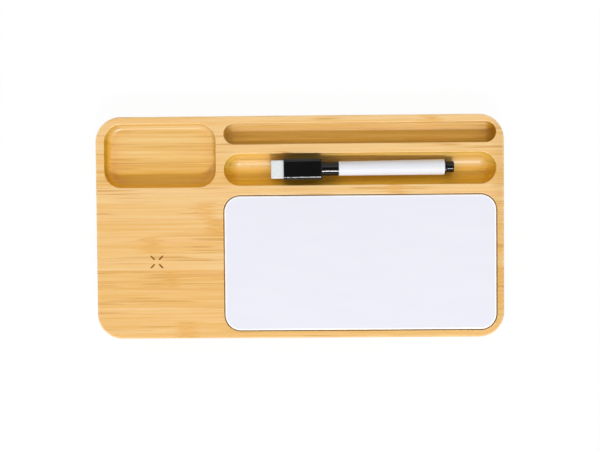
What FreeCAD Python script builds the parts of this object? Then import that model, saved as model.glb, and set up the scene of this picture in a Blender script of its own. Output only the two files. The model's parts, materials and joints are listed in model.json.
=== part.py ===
"""Bamboo desk organizer with a wireless charging spot, a dry-erase panel and a capped marker.

Millimetres. +X is to the right, +Y to the back and +Z up. The origin is under the middle of the
board, on the surface that the rubber feet stand on. The board is milled from one laminated blank:
a coved tray and a charging spot on the left, and on the right two round-bottomed grooves and a
pocket for the panel. The charger sits in a blind cavity that is open below and closed by a cover.
"""

import FreeCAD
import Part

import math
import os

from FreeCAD import Vector

# Marker: lengths along its axis, from the eraser to the end plug
eraser_reach = 8.05
eraser_width = 11.6
eraser_corner_radius = 1.8
eraser_socket_depth = 3.0
cap_block_length = 24.3
cap_block_width = 13.35
cap_block_corner_radius = 2.3
cap_block_end_radius = 0.6
cap_skirt_length = 10.7
cap_skirt_diameter = 8.9
cap_seat_gap = 0.1
cap_fit = 0.12
barrel_length = 67.35
barrel_front_diameter = 9.1
barrel_rear_diameter = 9.9
barrel_bore_diameter = 7.0
insert_fit = 0.02
tip_holder_diameter = 7.2
tip_holder_reach = 15.0
tip_holder_cone_length = 5.5
tip_holder_nose_diameter = 5.0
tip_holder_insert = 9.0
nib_diameter = 3.6
nib_reach = 6.5
nib_tip_radius = 1.6
nib_air = 2.0
nib_fit = 0.05
reservoir_air = 0.25
plug_length = 6.15
plug_flange_length = 0.8
plug_cone_length = 0.9
plug_diameter = 7.3
plug_edge_radius = 0.5
plug_insert = 7.0
plug_flange_step = 0.05

# Recesses in the top face and the wood that is left around them
left_rim = 5.5
right_rim = 5.0
back_rim = 4.8
front_rim = 5.0
tray_length = 71.25
tray_width = 40.4
tray_depth = 10.0
tray_corner_radius = 11.0
tray_cove_radius = 4.0
column_gap = 5.25
pen_groove_width = 13.2
pen_groove_depth = 10.0
groove_gap = 6.0
marker_groove_width = 20.4
marker_groove_depth = 10.0
panel_bank = 6.7
finger_room_left = 30.0
finger_room_right = 26.35
recess_rim_radius = 0.5

# How the marker lies in its groove
marker_skew_degrees = 0.47
marker_offset = 0.3
marker_seat_clearance = 0.25

# Dry-erase panel
panel_width = 85.9
panel_thickness = 3.0
panel_proud = 0.4
panel_seam = 0.6
panel_corner_radius = 10.0
panel_edge_radius = 0.8
tape_thickness = 0.3
tape_strip_width = 12.0
tape_strip_count = 3
tape_inset = 8.0

# Board blank and feet
board_corner_radius = 16.0
board_edge_radius = 1.2
foot_diameter = 8.0
foot_stand = 1.5
foot_seat_depth = 0.5
foot_fit = 0.1
foot_edge_radius = 0.5
foot_inset_x = 16.0
foot_inset_y = 6.0

# Charger stack, from the charging skin down to the cover
charge_skin = 3.5
coil_adhesive_thickness = 0.25
coil_inner_radius = 10.8
coil_pitch = 1.25
coil_half_turns = 19
coil_wire_width = 0.8
coil_wire_height = 1.0
coil_lead_diameter = 0.8
coil_lead_hole_diameter = 2.4
coil_lead_gap = 1.5
shield_margin = 1.55
shield_thickness = 1.2
shield_corner_radius = 3.0
stack_air = 1.15
inductor_height = 4.2
inductor_size = 7.0
pcb_thickness = 1.2
pcb_edge_gap = 0.4
pcb_screw_inset = 4.0
boss_height = 3.5
boss_diameter = 5.0
pcb_screw_diameter = 1.9
pcb_screw_head_diameter = 3.6
pcb_screw_head_height = 1.3
pcb_screw_head_edge = 0.6
pcb_screw_length = 5.0
screw_fit = 0.05
screw_tip_room = 0.5

# Cavity, cover and its screws
charger_clearance = 3.0
cavity_corner_radius = 5.0
port_wall = 9.6
cover_thickness = 2.0
cover_side_ledge = 6.0
cover_end_ledge = 2.6
cover_corner_radius = 4.0
cover_clearance = 0.3
cover_screw_inset = 8.0
cover_screw_diameter = 2.4
cover_screw_head_diameter = 4.5
cover_screw_length = 9.0
screw_slot_length = 2.7
screw_slot_width = 0.7
screw_slot_depth = 0.8

# USB-C socket and the port that its plug goes through
usb_width = 8.94
usb_height = 3.26
usb_length = 7.35
usb_wall = 0.3
usb_overhang = 2.8
usb_tongue_width = 6.69
usb_tongue_thickness = 0.7
usb_tongue_edge_radius = 0.15
usb_tongue_recess = 0.8
usb_back_thickness = 1.5
usb_fit = 0.03
port_width = 13.0
port_height = 7.4
port_corner_radius = 3.2

# Small parts on the circuit board
controller_size = 7.0
controller_height = 0.9
transistor_length = 5.0
transistor_width = 4.0
transistor_height = 1.5
transistor_count = 4
capacitor_length = 4.5
capacitor_width = 3.2
capacitor_height = 2.5
capacitor_count = 4
component_spacing = 2.0
component_edge_radius = 0.3
component_chamfer = 0.15

# Modelling allowances
overcut = 1.0
touching = 1e-4

# Lengths that follow from the driving dimensions
cap_length = cap_block_length + cap_skirt_length
barrel_start = eraser_reach + cap_length + cap_seat_gap
barrel_end = barrel_start + barrel_length
marker_length = barrel_end + plug_length
groove_length = finger_room_left + marker_length + finger_room_right
board_length = left_rim + tray_length + column_gap + groove_length + right_rim
board_depth = (
    front_rim + panel_width + panel_bank + marker_groove_width + groove_gap + pen_groove_width + back_rim
)
component_space = inductor_height + stack_air
board_thickness = (
    cover_thickness + boss_height + pcb_thickness + component_space
    + shield_thickness + coil_wire_height + coil_adhesive_thickness + charge_skin
)

# Places that follow, by side of the board
left, right = -board_length / 2, board_length / 2
front, back = -board_depth / 2, board_depth / 2
bottom = foot_stand
top = bottom + board_thickness

tray_x0 = left + left_rim
tray_x1 = tray_x0 + tray_length
tray_y1 = back - back_rim
tray_y0 = tray_y1 - tray_width
groove_x0 = tray_x1 + column_gap
groove_x1 = groove_x0 + groove_length
pen_groove_y = back - back_rim - pen_groove_width / 2
marker_groove_y = pen_groove_y - pen_groove_width / 2 - groove_gap - marker_groove_width / 2
panel_y0 = front + front_rim
panel_y1 = panel_y0 + panel_width
panel_floor = top + panel_proud - panel_thickness - tape_thickness

coil_outer_radius = coil_inner_radius + coil_pitch * (coil_half_turns - 1) / 2
shield_size = 2 * (coil_outer_radius + coil_wire_width / 2 + shield_margin)
cavity_x0 = left + port_wall
pcb_x0 = cavity_x0 + pcb_edge_gap
usb_mouth = pcb_x0 - usb_overhang
outer_lead_x = usb_mouth + usb_length + coil_lead_gap + coil_lead_diameter / 2
charge_x = outer_lead_x + coil_outer_radius
charge_y = (front + tray_y0) / 2
cavity_x1 = charge_x + shield_size / 2 + charger_clearance
cavity_y0 = charge_y - shield_size / 2 - charger_clearance
cavity_y1 = charge_y + shield_size / 2 + charger_clearance
cavity_ceiling = top - charge_skin
coil_z = cavity_ceiling - coil_adhesive_thickness - coil_wire_height
shield_z = coil_z - shield_thickness
cover_top = bottom + cover_thickness
pcb_z = cover_top + boss_height
pcb_top = pcb_z + pcb_thickness
pcb_corner_radius = cavity_corner_radius - pcb_edge_gap
pcb_x1 = cavity_x1 - pcb_edge_gap
pcb_y0, pcb_y1 = cavity_y0 + pcb_edge_gap, cavity_y1 - pcb_edge_gap
usb_z = pcb_top + usb_height / 2

# Local X, Y and Z turned to world Y, Z and X, for shapes that are drawn flat and run along the board
ALONG_X = FreeCAD.Rotation(Vector(0, 1, 0), Vector(0, 0, 1), Vector(1, 0, 0), "XYZ")


# Shared shapes

def arc_point(centre, radius, degrees, z):
    """Point on a flat circle."""
    turn = math.radians(degrees)
    return Vector(centre[0] + radius * math.cos(turn), centre[1] + radius * math.sin(turn), z)


def rounded_wire(x0, x1, y0, y1, radius, z):
    """Closed rectangle with round corners, at height z."""
    centres = (
        (x1 - radius, y1 - radius),
        (x0 + radius, y1 - radius),
        (x0 + radius, y0 + radius),
        (x1 - radius, y0 + radius),
    )
    edges = []
    last = arc_point(centres[3], radius, 360, z)
    for quarter, centre in enumerate(centres):
        start, middle, end = (arc_point(centre, radius, 90 * quarter + step, z) for step in (0, 45, 90))
        if (start - last).Length > touching:
            edges.append(Part.LineSegment(last, start).toShape())
        edges.append(Part.Arc(start, middle, end).toShape())
        last = end
    return Part.Wire(edges)


def slab(x0, x1, y0, y1, z0, z1, radius):
    """Upright block with round corners in plan."""
    return Part.Face(rounded_wire(x0, x1, y0, y1, radius, z0)).extrude(Vector(0, 0, z1 - z0))


def centred_slab(x, y, z0, length, width, height, radius):
    """Slab about a point in plan."""
    return slab(x - length / 2, x + length / 2, y - width / 2, y + width / 2, z0, z0 + height, radius)


def bar_along_x(x0, x1, y, z, width, height, radius):
    """Bar along X with a rounded section, centred on y and z."""
    bar = slab(-width / 2, width / 2, -height / 2, height / 2, 0, x1 - x0, radius)
    bar.Placement = FreeCAD.Placement(Vector(x0, y, z), ALONG_X)
    return bar


def post(x, y, z0, z1, diameter):
    """Upright cylinder."""
    return Part.makeCylinder(diameter / 2, z1 - z0, Vector(x, y, z0))


def turned_upright(x, y, outline):
    """Solid of revolution about a vertical axis, from (radius, height) points."""
    points = [Vector(r, 0, z) for r, z in outline]
    face = Part.Face(Part.makePolygon(points + points[:1]))
    solid = face.revolve(Vector(0, 0, 0), Vector(0, 0, 1), 360)
    solid.translate(Vector(x, y, 0))
    return solid


def turned_along_x(outline):
    """Solid of revolution about the X axis, from (place along X, radius) points."""
    points = [Vector(s, 0, r) for s, r in outline]
    face = Part.Face(Part.makePolygon(points + points[:1]))
    return face.revolve(Vector(0, 0, 0), Vector(1, 0, 0), 360)


def edges_in_plane(shape, axis, place):
    """Edges that lie in the plane square to axis, 'X' or 'Z', at a place."""
    low, high = axis + "Min", axis + "Max"
    return [
        edge for edge in shape.Edges
        if abs(getattr(edge.BoundBox, low) - place) < touching
        and abs(getattr(edge.BoundBox, high) - place) < touching
    ]


def largest_face_in_plane(shape, axis, place):
    """Largest flat face in the plane square to axis at a place."""
    low, high = axis + "Min", axis + "Max"
    faces = [
        face for face in shape.Faces
        if abs(getattr(face.BoundBox, low) - place) < touching
        and abs(getattr(face.BoundBox, high) - place) < touching
    ]
    return max(faces, key=lambda face: face.Area)


def hole_edges(face):
    """Edges around the openings in a flat face."""
    return [edge for wire in face.Wires if not wire.isSame(face.OuterWire) for edge in wire.Edges]


# Recesses

def groove_ball(width, depth):
    """Radius of the ball cutter for a groove, and how far below the top face its centre runs."""
    half = width / 2
    if depth >= half:
        return half, depth - half
    radius = (half * half + depth * depth) / (2 * depth)
    return radius, depth - radius


def groove_cutter(y, width, depth):
    """Round-bottomed groove with ball-nosed ends."""
    half = width / 2
    radius, drop = groove_ball(width, depth)
    wall_foot = Vector(0, half, -max(drop, 0))
    lowest = Vector(0, 0, -depth)
    sweep = math.atan2(half, -drop - wall_foot.z) if drop < 0 else math.pi / 2
    on_arc = Vector(0, radius * math.sin(sweep / 2), -drop - radius * math.cos(sweep / 2))
    rim, crown = Vector(0, half, overcut), Vector(0, 0, overcut)

    def mirrored(point):
        return Vector(point.x, -point.y, point.z)

    half_section = [
        Part.Arc(lowest, on_arc, wall_foot).toShape(),
        Part.LineSegment(wall_foot, rim).toShape(),
        Part.LineSegment(rim, crown).toShape(),
        Part.LineSegment(crown, lowest).toShape(),
    ]
    end = Part.Face(Part.Wire(half_section))
    section = [
        Part.Arc(mirrored(wall_foot), lowest, wall_foot).toShape(),
        Part.LineSegment(wall_foot, rim).toShape(),
        Part.LineSegment(rim, mirrored(rim)).toShape(),
        Part.LineSegment(mirrored(rim), mirrored(wall_foot)).toShape(),
    ]
    straight = Part.Face(Part.Wire(section)).extrude(Vector(groove_length - width, 0, 0))
    left_end = end.revolve(Vector(0, 0, 0), Vector(0, 0, 1), 180)
    right_end = end.revolve(Vector(0, 0, 0), Vector(0, 0, 1), -180)
    right_end.translate(Vector(groove_length - width, 0, 0))
    cutter = straight.fuse([left_end, right_end]).removeSplitter()
    cutter.translate(Vector(groove_x0 + half, y, top))
    return cutter


def tray_cutter():
    """Tray pocket with a cove between its floor and walls."""
    floor = top - tray_depth
    block = slab(tray_x0, tray_x1, tray_y0, tray_y1, floor, top + overcut, tray_corner_radius)
    return block.makeFillet(tray_cove_radius, edges_in_plane(block, "Z", floor))


def panel_pocket_cutter():
    """Shallow pocket that the panel is bedded in, one seam wider all round."""
    return slab(
        groove_x0 - panel_seam, groove_x1 + panel_seam, panel_y0 - panel_seam, panel_y1 + panel_seam,
        panel_floor, top + overcut, panel_corner_radius + panel_seam,
    )


def cover_outline(clearance):
    """Sides of the cover, or of its rebate when a clearance is given."""
    return (
        cavity_x0 - cover_side_ledge - clearance, cavity_x1 + cover_side_ledge + clearance,
        cavity_y0 - cover_end_ledge - clearance, cavity_y1 + cover_end_ledge + clearance,
    )


def charger_cavity_cutters():
    """Blind cavity, the rebate for its cover and the port for the plug."""
    cavity = slab(
        cavity_x0, cavity_x1, cavity_y0, cavity_y1, bottom - overcut, cavity_ceiling, cavity_corner_radius
    )
    rebate = slab(
        *cover_outline(cover_clearance), bottom - overcut, cover_top, cover_corner_radius + cover_clearance
    )
    port = bar_along_x(
        left - overcut, cavity_x0 + overcut, charge_y, usb_z, port_width, port_height, port_corner_radius
    )
    return [cavity, rebate, port]


def foot_places():
    """Foot names with their centres."""
    x, y = right - foot_inset_x, back - foot_inset_y
    return {
        "foot_front_left": (-x, -y),
        "foot_front_right": (x, -y),
        "foot_back_left": (-x, y),
        "foot_back_right": (x, y),
    }


def cover_screw_places():
    """Centres of the cover's screws, on the ledges left and right of the cavity."""
    ledge = cover_side_ledge / 2
    return [
        (x, y)
        for x in (cavity_x0 - ledge, cavity_x1 + ledge)
        for y in (cavity_y0 + cover_screw_inset, cavity_y1 - cover_screw_inset)
    ]


def pcb_screw_places():
    """Centres of the circuit board's corner screws."""
    inset = pcb_screw_inset
    return [(x, y) for x in (pcb_x0 + inset, pcb_x1 - inset) for y in (pcb_y0 + inset, pcb_y1 - inset)]


# Board, panel and feet

def bamboo_board():
    """The milled blank, with its rims and outer edges eased."""
    blank = slab(left, right, front, back, bottom, top, board_corner_radius)
    cutters = [
        tray_cutter(),
        groove_cutter(pen_groove_y, pen_groove_width, pen_groove_depth),
        groove_cutter(marker_groove_y, marker_groove_width, marker_groove_depth),
        panel_pocket_cutter(),
    ]
    cutters += charger_cavity_cutters()
    cutters += [
        post(x, y, bottom - overcut, bottom + foot_seat_depth, foot_diameter + 2 * foot_fit)
        for x, y in foot_places().values()
    ]
    pilot_diameter = cover_screw_diameter + 2 * screw_fit
    pilot_end = bottom + cover_screw_length + screw_tip_room
    cutters += [post(x, y, bottom, pilot_end, pilot_diameter) for x, y in cover_screw_places()]
    board = blank.cut(cutters)
    board = board.makeFillet(board_edge_radius, largest_face_in_plane(board, "Z", top).OuterWire.Edges)
    board = board.makeFillet(board_edge_radius, largest_face_in_plane(board, "Z", bottom).OuterWire.Edges)
    board = board.makeFillet(recess_rim_radius, hole_edges(largest_face_in_plane(board, "Z", top)))
    return board.makeFillet(recess_rim_radius, hole_edges(largest_face_in_plane(board, "X", left)))


def whiteboard_panel():
    """Dry-erase panel with its upper edge rounded over."""
    face = top + panel_proud
    panel = slab(
        groove_x0, groove_x1, panel_y0, panel_y1, face - panel_thickness, face, panel_corner_radius
    )
    return panel.makeFillet(panel_edge_radius, edges_in_plane(panel, "Z", face))


def panel_tape_strips():
    """Double-sided tape between the panel and the floor of its pocket."""
    first = panel_y0 + tape_inset + tape_strip_width / 2
    step = (panel_width - 2 * tape_inset - tape_strip_width) / (tape_strip_count - 1)
    length = groove_length - 2 * tape_inset
    middle = (groove_x0 + groove_x1) / 2
    return Part.makeCompound([
        Part.makeBox(
            length, tape_strip_width, tape_thickness,
            Vector(middle - length / 2, first + step * i - tape_strip_width / 2, panel_floor),
        )
        for i in range(tape_strip_count)
    ])


def rubber_foot(x, y):
    """Round foot, seated in the board and eased where it meets the table."""
    foot = post(x, y, 0, bottom + foot_seat_depth, foot_diameter)
    return foot.makeFillet(foot_edge_radius, edges_in_plane(foot, "Z", 0))


# Charger cover and circuit board

def screw_outline(head_radius, shank_radius, length, growth):
    """Countersunk screw, head down on the underside; growth widens it into its hole."""
    shoulder = bottom + head_radius - shank_radius
    return [
        (0, bottom), (head_radius + growth, bottom), (shank_radius + growth, shoulder),
        (shank_radius + growth, bottom + length - shank_radius), (0, bottom + length),
    ]


def cover_screws():
    """Countersunk wood screws with a cross slot."""
    screws = []
    for x, y in cover_screw_places():
        screw = turned_upright(x, y, screw_outline(
            cover_screw_head_diameter / 2, cover_screw_diameter / 2, cover_screw_length, 0
        ))
        slots = [
            Part.makeBox(long, wide, screw_slot_depth, Vector(x - long / 2, y - wide / 2, bottom))
            for long, wide in ((screw_slot_length, screw_slot_width), (screw_slot_width, screw_slot_length))
        ]
        screws.append(screw.cut(slots))
    return Part.makeCompound(screws)


def charger_cover():
    """Flush cover with countersinks for its screws and bosses for the circuit board."""
    plate = slab(*cover_outline(0), bottom, cover_top, cover_corner_radius)
    bosses = [post(x, y, cover_top, pcb_z, boss_diameter) for x, y in pcb_screw_places()]
    pilot_floor = pcb_top - pcb_screw_length - screw_tip_room
    pilots = [
        post(x, y, pilot_floor, pcb_z + overcut, pcb_screw_diameter + 2 * screw_fit)
        for x, y in pcb_screw_places()
    ]
    countersinks = [
        turned_upright(x, y, screw_outline(
            cover_screw_head_diameter / 2, cover_screw_diameter / 2, cover_screw_length, screw_fit
        ))
        for x, y in cover_screw_places()
    ]
    return plate.fuse(bosses).removeSplitter().cut(pilots + countersinks)


def charger_pcb():
    """Circuit board with a hole for each screw."""
    board = slab(pcb_x0, pcb_x1, pcb_y0, pcb_y1, pcb_z, pcb_top, pcb_corner_radius)
    holes = [
        post(x, y, pcb_z - overcut, pcb_top + overcut, pcb_screw_diameter + 2 * screw_fit)
        for x, y in pcb_screw_places()
    ]
    return board.cut(holes)


def pcb_screws():
    """Pan-head screws that hold the circuit board on its bosses."""
    head, shank = pcb_screw_head_diameter / 2, pcb_screw_diameter / 2
    head_top = pcb_top + pcb_screw_head_height
    outline = [
        (0, pcb_top - pcb_screw_length), (shank, pcb_top - pcb_screw_length + shank), (shank, pcb_top),
        (head, pcb_top), (head, head_top - pcb_screw_head_edge), (head - pcb_screw_head_edge, head_top),
        (0, head_top),
    ]
    return Part.makeCompound([turned_upright(x, y, outline) for x, y in pcb_screw_places()])


def usb_socket_shell():
    """Drawn steel shell of the socket."""
    outer = bar_along_x(
        usb_mouth, usb_mouth + usb_length, charge_y, usb_z, usb_width, usb_height, usb_height / 2
    )
    inner_width, inner_height = usb_width - 2 * usb_wall, usb_height - 2 * usb_wall
    inner = bar_along_x(
        usb_mouth - overcut, usb_mouth + usb_length + overcut, charge_y, usb_z,
        inner_width, inner_height, inner_height / 2,
    )
    return outer.cut(inner)


def usb_socket_tongue():
    """Moulded back of the socket, with the tongue that carries the contacts."""
    width = usb_width - 2 * usb_wall - 2 * usb_fit
    height = usb_height - 2 * usb_wall - 2 * usb_fit
    back_x = usb_mouth + usb_length
    plug = bar_along_x(back_x - usb_back_thickness, back_x, charge_y, usb_z, width, height, height / 2)
    tongue = bar_along_x(
        usb_mouth + usb_tongue_recess, back_x - usb_back_thickness, charge_y, usb_z,
        usb_tongue_width, usb_tongue_thickness, usb_tongue_edge_radius,
    )
    return plug.fuse(tongue)


def component(x, y, length, width, height):
    """Small moulded block on the circuit board, with its upper edge eased."""
    block = centred_slab(x, y, pcb_top, length, width, height, component_edge_radius)
    return block.makeChamfer(component_chamfer, edges_in_plane(block, "Z", pcb_top + height))


def component_column(x, length, width, height, count):
    """Blocks in a row along Y, half of them each side of the coil's leads."""
    step = width + component_spacing
    clear_of_leads = component_spacing + coil_lead_diameter
    places = [clear_of_leads + width / 2 + step * i for i in range(count // 2)]
    return Part.makeCompound([
        component(x, charge_y + side * place, length, width, height)
        for side in (-1, 1) for place in places
    ])


# Coil and shield

def coil_radius(half_turn):
    """Middle of the wire on one half turn."""
    return coil_inner_radius + coil_pitch * half_turn / 2


def coil_side(offset):
    """One side of the flat wire as half-turn arcs, each about its own centre."""
    arcs = []
    for half_turn in range(coil_half_turns):
        centre = (charge_x + (coil_pitch / 2 if half_turn % 2 else 0), charge_y)
        start = 180 * (half_turn % 2)
        radius = coil_radius(half_turn) + offset
        arcs.append([arc_point(centre, radius, start + step, coil_z) for step in (0, 90, 180)])
    return arcs


def charging_coil():
    """Flat spiral winding of rectangular wire in one layer."""
    inner, outer = coil_side(-coil_wire_width / 2), coil_side(coil_wire_width / 2)
    edges = [Part.Arc(*points).toShape() for points in inner + outer]
    edges.append(Part.LineSegment(inner[0][0], outer[0][0]).toShape())
    edges.append(Part.LineSegment(inner[-1][-1], outer[-1][-1]).toShape())
    face = Part.Face(Part.Wire(Part.__sortEdges__(edges)))
    return face.extrude(Vector(0, 0, coil_wire_height))


def coil_lead_places():
    """Where the coil's inner and outer ends turn down to the circuit board."""
    return [(charge_x + coil_inner_radius, charge_y), (outer_lead_x, charge_y)]


def coil_leads():
    """Wires from the coil's two ends down to the circuit board."""
    return Part.makeCompound([
        post(x, y, pcb_top, coil_z, coil_lead_diameter) for x, y in coil_lead_places()
    ])


def ferrite_shield():
    """Square ferrite plate under the coil, pierced for the leads."""
    plate = centred_slab(
        charge_x, charge_y, shield_z, shield_size, shield_size, shield_thickness, shield_corner_radius
    )
    holes = [
        post(x, y, shield_z - overcut, coil_z + overcut, coil_lead_hole_diameter)
        for x, y in coil_lead_places()
    ]
    return plate.cut(holes)


def coil_adhesive():
    """Adhesive disc that holds the coil to the cavity's ceiling."""
    diameter = 2 * coil_outer_radius + coil_wire_width
    return post(charge_x, charge_y, cavity_ceiling - coil_adhesive_thickness, cavity_ceiling, diameter)


# Marker, drawn along +X from the eraser's face and then laid in its groove

def sideways(along):
    """How far the skewed marker lies behind the middle of its groove."""
    return marker_offset + math.tan(math.radians(marker_skew_degrees)) * (along - marker_length / 2)


def marker_placement():
    """Rest pose: the cap block's end and the barrel's rear end both bear on the groove."""
    ball, drop = groove_ball(marker_groove_width, marker_groove_depth)
    groove_axis = top - drop
    block_end = eraser_reach + cap_block_length
    corner = cap_block_width / 2 - cap_block_corner_radius
    block_reach = corner + abs(sideways(block_end))
    block_drop = math.sqrt((ball - cap_block_corner_radius) ** 2 - block_reach ** 2) - corner
    barrel_drop = math.sqrt((ball - barrel_rear_diameter / 2) ** 2 - sideways(barrel_end) ** 2)
    slope = (barrel_drop - block_drop) / (barrel_end - block_end)
    start = Vector(
        groove_x0 + finger_room_left,
        marker_groove_y + sideways(0),
        groove_axis - block_drop + marker_seat_clearance + slope * block_end,
    )
    pitch_degrees = math.degrees(math.atan(slope))
    return FreeCAD.Placement(start, FreeCAD.Rotation(marker_skew_degrees, pitch_degrees, 0))


def cap_bore_depth():
    """Depth of the cap's bore from its mouth, with air left before the nib."""
    return tip_holder_reach + nib_reach + nib_air - cap_seat_gap


def cap_shell():
    """Square cap block with a round skirt, bored for the tip and socketed for the eraser."""
    block_end = eraser_reach + cap_block_length
    mouth = eraser_reach + cap_length
    block = bar_along_x(
        eraser_reach, block_end, 0, 0, cap_block_width, cap_block_width, cap_block_corner_radius
    )
    block = block.makeFillet(cap_block_end_radius, edges_in_plane(block, "X", block_end))
    skirt = turned_along_x([
        (block_end - overcut, 0), (block_end - overcut, cap_skirt_diameter / 2),
        (mouth, cap_skirt_diameter / 2), (mouth, 0),
    ])
    bore_radius = tip_holder_diameter / 2 + cap_fit
    bore = turned_along_x([
        (mouth - cap_bore_depth(), 0), (mouth - cap_bore_depth(), bore_radius),
        (mouth + overcut, bore_radius), (mouth + overcut, 0),
    ])
    socket_width = eraser_width + 2 * screw_fit
    socket = bar_along_x(
        eraser_reach - overcut, eraser_reach + eraser_socket_depth, 0, 0,
        socket_width, socket_width, eraser_corner_radius + screw_fit,
    )
    return block.fuse(skirt).cut([bore, socket])


def cap_eraser():
    """Felt block in the end of the cap."""
    return bar_along_x(
        0, eraser_reach + eraser_socket_depth, 0, 0, eraser_width, eraser_width, eraser_corner_radius
    )


def marker_barrel():
    """Tapered tube, open at both ends."""
    bore = barrel_bore_diameter / 2
    return turned_along_x([
        (barrel_start, bore), (barrel_start, barrel_front_diameter / 2),
        (barrel_end, barrel_rear_diameter / 2), (barrel_end, bore),
    ])


def marker_end_plug():
    """Plug that closes the barrel: a flange that tapers down to a short knob."""
    shank = barrel_bore_diameter / 2 - insert_fit
    flange = barrel_rear_diameter / 2 - plug_flange_step
    flange_end = barrel_end + plug_flange_length
    knob = plug_diameter / 2
    plug = turned_along_x([
        (barrel_end - plug_insert, 0), (barrel_end - plug_insert, shank), (barrel_end, shank),
        (barrel_end, flange), (flange_end, flange), (flange_end + plug_cone_length, knob),
        (marker_length, knob), (marker_length, 0),
    ])
    return plug.makeFillet(plug_edge_radius, edges_in_plane(plug, "X", marker_length))


def marker_tip_holder():
    """Nose piece pressed into the barrel, which carries the nib."""
    hole = nib_diameter / 2 + nib_fit
    body, shank = tip_holder_diameter / 2, barrel_bore_diameter / 2 - insert_fit
    nose = barrel_start - tip_holder_reach
    return turned_along_x([
        (nose, hole), (nose, tip_holder_nose_diameter / 2), (nose + tip_holder_cone_length, body),
        (barrel_start, body), (barrel_start, shank), (barrel_start + tip_holder_insert, shank),
        (barrel_start + tip_holder_insert, hole),
    ])


def marker_nib():
    """Fibre nib with a bullet tip."""
    radius = nib_diameter / 2
    tip = barrel_start - tip_holder_reach - nib_reach
    rear = barrel_start + tip_holder_insert
    nib = turned_along_x([(tip, 0), (tip, radius), (rear, radius), (rear, 0)])
    return nib.makeFillet(min(nib_tip_radius, radius - touching), edges_in_plane(nib, "X", tip))


def marker_ink_reservoir():
    """Fibre wick between the nib and the end plug."""
    radius = barrel_bore_diameter / 2 - reservoir_air
    front_end, rear_end = barrel_start + tip_holder_insert, barrel_end - plug_insert
    return turned_along_x([(front_end, 0), (front_end, radius), (rear_end, radius), (rear_end, 0)])


# All sub-parts by name

def fixed_nodes():
    """Everything that stays on the board."""
    spread = (inductor_size + controller_size) / 2 + component_spacing
    nodes = {
        "bamboo_board": bamboo_board(),
        "whiteboard_panel": whiteboard_panel(),
        "panel_tape_strips": panel_tape_strips(),
        "charger_cover": charger_cover(),
        "cover_screws": cover_screws(),
        "charger_pcb": charger_pcb(),
        "pcb_screws": pcb_screws(),
        "usb_socket_shell": usb_socket_shell(),
        "usb_socket_tongue": usb_socket_tongue(),
        "controller_chip": component(
            charge_x, charge_y, controller_size, controller_size, controller_height
        ),
        "filter_inductor": component(
            charge_x, charge_y + spread, inductor_size, inductor_size, inductor_height
        ),
        "bridge_transistors": component_column(
            charge_x - controller_size - component_spacing,
            transistor_length, transistor_width, transistor_height, transistor_count,
        ),
        "resonance_capacitors": component_column(
            charge_x + controller_size + component_spacing,
            capacitor_length, capacitor_width, capacitor_height, capacitor_count,
        ),
        "ferrite_shield": ferrite_shield(),
        "charging_coil": charging_coil(),
        "coil_leads": coil_leads(),
        "coil_adhesive": coil_adhesive(),
    }
    nodes.update({name: rubber_foot(x, y) for name, (x, y) in foot_places().items()})
    return nodes


def marker_nodes():
    """The marker and its cap, laid in the groove."""
    nodes = {
        "cap_shell": cap_shell(),
        "cap_eraser": cap_eraser(),
        "marker_barrel": marker_barrel(),
        "marker_end_plug": marker_end_plug(),
        "marker_tip_holder": marker_tip_holder(),
        "marker_nib": marker_nib(),
        "marker_ink_reservoir": marker_ink_reservoir(),
    }
    rest = marker_placement()
    for shape in nodes.values():
        shape.Placement = rest.multiply(shape.Placement)
    return nodes


def main():
    os.makedirs("parts", exist_ok=True)
    nodes = {**fixed_nodes(), **marker_nodes()}
    for name, shape in nodes.items():
        shape.exportStep(f"parts/{name}.step")
    rest = marker_placement()
    print("board", board_length, board_depth, board_thickness)
    print("coil turns are", round(coil_pitch - coil_wire_width, 3), "mm apart")
    print("marker axis", rest.Rotation.multVec(Vector(1, 0, 0)), "from", rest.Base)


main()
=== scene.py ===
"""Looks of the bamboo desk organizer: camera, light, finishes, felt eraser and small surface pieces."""

import json
import math
import random
from collections import namedtuple

import bmesh
import bpy
from mathutils import Matrix, Vector, noise


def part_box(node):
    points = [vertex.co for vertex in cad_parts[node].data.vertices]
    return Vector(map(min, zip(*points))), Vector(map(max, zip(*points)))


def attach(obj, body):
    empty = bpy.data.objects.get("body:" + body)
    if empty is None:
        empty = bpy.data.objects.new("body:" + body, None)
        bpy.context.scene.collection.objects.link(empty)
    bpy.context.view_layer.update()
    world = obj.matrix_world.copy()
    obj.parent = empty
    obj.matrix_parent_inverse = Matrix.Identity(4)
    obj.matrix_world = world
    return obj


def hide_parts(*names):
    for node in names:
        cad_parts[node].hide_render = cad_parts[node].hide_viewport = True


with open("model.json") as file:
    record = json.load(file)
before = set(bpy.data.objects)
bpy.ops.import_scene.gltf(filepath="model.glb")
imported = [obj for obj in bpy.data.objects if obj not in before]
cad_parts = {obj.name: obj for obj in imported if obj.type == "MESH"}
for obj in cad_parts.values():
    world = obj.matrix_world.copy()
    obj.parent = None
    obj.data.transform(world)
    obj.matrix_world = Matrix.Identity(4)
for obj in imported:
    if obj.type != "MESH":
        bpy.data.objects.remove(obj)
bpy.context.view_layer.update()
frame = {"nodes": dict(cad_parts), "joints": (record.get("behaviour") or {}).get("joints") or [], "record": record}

MM = 0.001

# Camera: nearly straight down, from a little behind and right of the middle
CAMERA_PLACE = Vector((0.0133, 0.0243, 0.7183))
CAMERA_TARGET = Vector((0.0002, 0.0012, 0.0183))
CAMERA_ROLL = math.radians(-0.496)
CAMERA_NEAR_LIMIT = 0.01
PICTURE_WIDTH = 600
FOCAL_PIXELS = 1097.2
SENSOR_WIDTH = 36.0

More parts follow.
